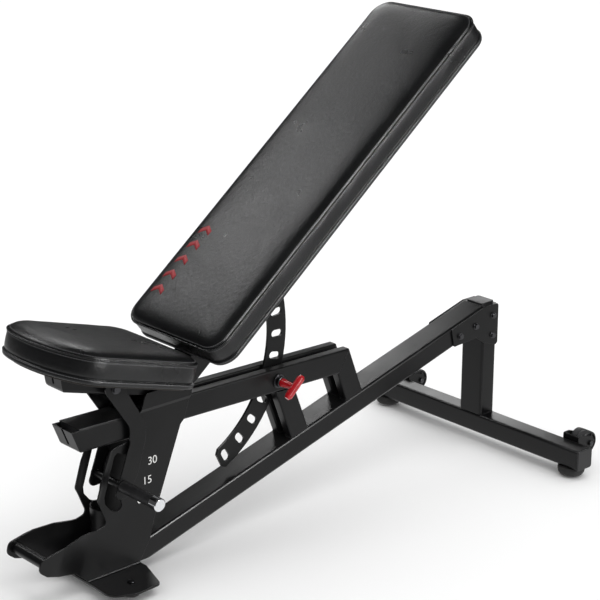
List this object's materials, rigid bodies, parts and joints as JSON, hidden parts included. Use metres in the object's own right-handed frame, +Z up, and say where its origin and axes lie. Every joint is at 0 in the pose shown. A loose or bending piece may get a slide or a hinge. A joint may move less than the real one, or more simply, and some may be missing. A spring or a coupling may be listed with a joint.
{
  "type": "adjustable weight bench",
  "caption": "Adjustable weight bench: padded inclining backrest on a slotted ladder plate with a pop pin, tilting padded seat, welded tube frame, carrying handle and transport wheels.",
  "frame": {"origin": "on the floor, under the middle of the bench's bounding box", "axes": "+X runs from the seat end to the rear crossbar, +Z is up, and -Y is the side with the pop pin and the adjuster grip"},
  "size_m": [1.4712, 0.7106, 1.1163],
  "materials": {
    "black_paint": "satin black powder coat",
    "vinyl": "black upholstery vinyl with stitched seams",
    "board": "black-stained plywood",
    "rubber": "matt moulded rubber",
    "black_plastic": "fine-textured moulded plastic",
    "red_plastic": "glossy red moulding",
    "chrome": "polished",
    "zinc": "zinc-plated and darkened"
  },
  "bodies": {
    "frame": {"crossbar_cap_far": "black_plastic", "crossbar_cap_near": "black_plastic", "front_foot_far": "rubber", "front_foot_near": "rubber", "front_foot_plate": "black_paint", "front_foot_screw_far": "zinc", "front_foot_screw_near": "zinc", "front_handle_bar": "black_paint", "front_post_far": "black_paint", "front_post_near": "black_paint", "front_shield": "black_paint", "gusset_bolt_1": "zinc", "gusset_bolt_2": "zinc", "gusset_bolt_3": "zinc", "gusset_bolt_4": "zinc", "gusset_far": "black_paint", "gusset_near": "black_paint", "hinge_bolt": "zinc", "nose_channel": "black_paint", "nose_cover": "black_plastic", "pin_bushing": "zinc", "pin_spring": "zinc", "rail_far": "black_paint", "rail_near": "black_paint", "rear_crossbar": "black_paint", "rear_foot_far": "rubber", "rear_foot_near": "rubber", "rear_post_far": "black_paint", "rear_post_near": "black_paint", "rear_upright": "black_paint", "side_plate_far": "black_paint", "side_plate_near": "black_paint", "spine_tube": "black_paint", "upright_cap": "black_plastic", "wheel_axle_far": "zinc", "wheel_axle_near": "zinc", "wheel_bracket_far": "black_paint", "wheel_bracket_near": "black_paint"},
    "backrest": {"back_board": "board", "back_bracket_far": "black_paint", "back_bracket_near": "black_paint", "back_cushion": "vinyl", "back_tube": "black_paint", "back_tube_cap": "black_plastic", "ladder_plate": "black_paint"},
    "seat": {"seat_board": "board", "seat_bracket_far": "black_paint", "seat_bracket_near": "black_paint", "seat_channel": "black_paint", "seat_cushion": "vinyl", "seat_pivot_bolt": "zinc"},
    "seat_support": {"adjuster_end_cap": "chrome", "adjuster_grip": "black_plastic", "adjuster_rod": "black_paint", "support_arm_far": "black_paint", "support_arm_near": "black_paint"},
    "pop_pin": {"pin_handle": "red_plastic", "pin_rod": "zinc"},
    "wheel_near": {"wheel_near": "black_plastic"},
    "wheel_far": {"wheel_far": "black_plastic"}
  },
  "joints": [
    {"name": "backrest_hinge", "type": "hinge", "parent": "frame", "child": "backrest", "pos_m": [-0.3475, 0, 0.455], "axis": [0, -1, 0], "range_deg": [-38.2, 23]},
    {"name": "seat_hinge", "type": "hinge", "parent": "frame", "child": "seat", "pos_m": [-0.3475, 0, 0.455], "axis": [0, 1, 0], "range_deg": [-15, 15]},
    {"name": "support_pivot", "type": "hinge", "parent": "seat", "child": "seat_support", "pos_m": [-0.52287, 0, 0.44355], "axis": [0, 1, 0], "range_deg": [-20, 20]},
    {"name": "pop_pin_slide", "type": "slide", "parent": "frame", "child": "pop_pin", "axis": [0, -1, 0], "range_m": [0, 0.018], "stiffness_N_per_m": 600, "springref_m": -0.02, "deforming": ["pin_spring"]},
    {"name": "wheel_near_spin", "type": "hinge", "parent": "frame", "child": "wheel_near", "pos_m": [0.707, -0.288, 0.061], "axis": [0, 1, 0], "continuous": true},
    {"name": "wheel_far_spin", "type": "hinge", "parent": "frame", "child": "wheel_far", "pos_m": [0.707, 0.288, 0.061], "axis": [0, 1, 0], "continuous": true}
  ],
  "couplings": [
    {"joint": "support_pivot", "follows": "seat_hinge", "ratio": -1.3}
  ]
}
